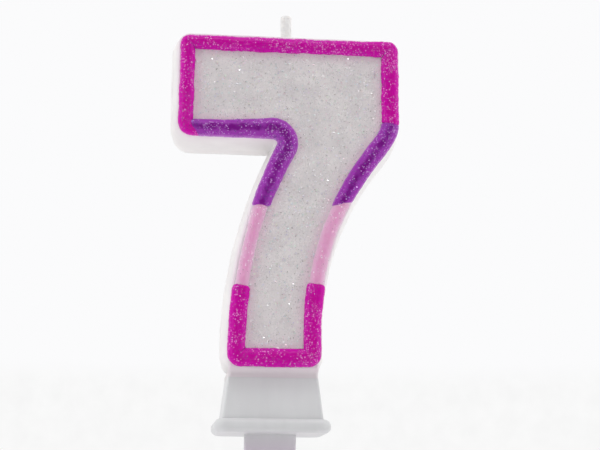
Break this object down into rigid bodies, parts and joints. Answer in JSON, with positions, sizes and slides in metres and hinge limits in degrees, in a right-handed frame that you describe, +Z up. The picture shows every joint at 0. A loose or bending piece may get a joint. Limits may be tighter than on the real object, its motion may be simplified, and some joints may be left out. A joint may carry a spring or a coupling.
{
  "type": "number birthday candle",
  "caption": "Wax numeral birthday candle with a glitter face, coloured beads round its edge and a waxed wick, in a plastic holder with a flat stake.",
  "frame": {"origin": "centre of the holder flange's underside, which is the level of the cake's top", "axes": "+Z up along the wick, -Y the way the numeral's face looks, +X to the reader's right"},
  "size_m": [0.0521, 0.019, 0.1238],
  "materials": {
    "white_wax": "semi-translucent white paraffin wax, satin",
    "glitter_coat": "clear gel wax full of fine pearl glitter over the white wax",
    "magenta_wax": "translucent magenta glitter wax, piped",
    "purple_wax": "translucent purple glitter wax, piped",
    "pink_wax": "translucent pale pink glitter wax, piped",
    "wick_cotton": "braided bleached cotton",
    "wick_wax": "thin dipped wax, satin",
    "holder_plastic": "moulded white polypropylene, slightly translucent, satin"
  },
  "bodies": {
    "holder": {"holder": "holder_plastic"},
    "numeral": {"wax_body": "white_wax", "glitter_panel": "glitter_coat", "bead_magenta_upper": "magenta_wax", "bead_purple_left": "purple_wax", "bead_purple_right": "purple_wax", "bead_pink_left": "pink_wax", "bead_pink_right": "pink_wax", "bead_magenta_foot": "magenta_wax", "wick_braid": "wick_cotton", "wick_wax_coat": "wick_wax"}
  },
  "joints": [
    {"name": "candle_lift", "type": "slide", "parent": "holder", "child": "numeral", "axis": [0, 0, 1], "range_m": [0, 0.01]}
  ]
}
